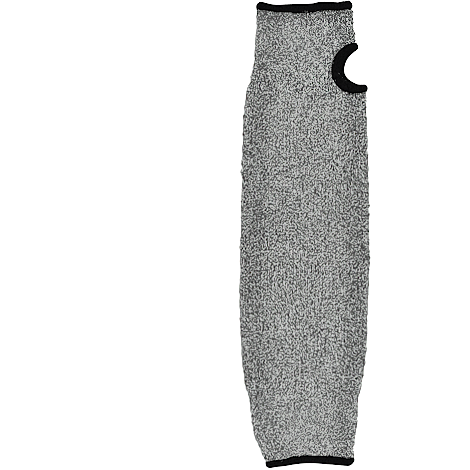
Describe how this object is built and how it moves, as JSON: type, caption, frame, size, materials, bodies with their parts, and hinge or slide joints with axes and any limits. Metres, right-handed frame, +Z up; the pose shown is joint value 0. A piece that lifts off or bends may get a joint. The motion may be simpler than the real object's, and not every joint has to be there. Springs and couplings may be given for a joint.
{
  "type": "cut resistant sleeve",
  "caption": "Knitted forearm sleeve lying flat, open at both ends, with a thumb hole in its side fold and a black binding round each edge.",
  "frame": {"origin": "middle of the bounding box's lowest face, on the surface that the sleeve lies on", "axes": "+X across the sleeve towards the thumb hole's side, +Y along it towards the hand opening, +Z up from the surface that it lies on"},
  "size_m": [0.1254, 0.45, 0.017],
  "materials": {
    "knit": "matte grey melange knit",
    "binding": "matte black overlock thread"
  },
  "bodies": {
    "root": {"knit_tube": "knit", "hand_binding": "binding", "arm_binding": "binding", "thumb_binding": "binding"}
  },
  "joints": []
}
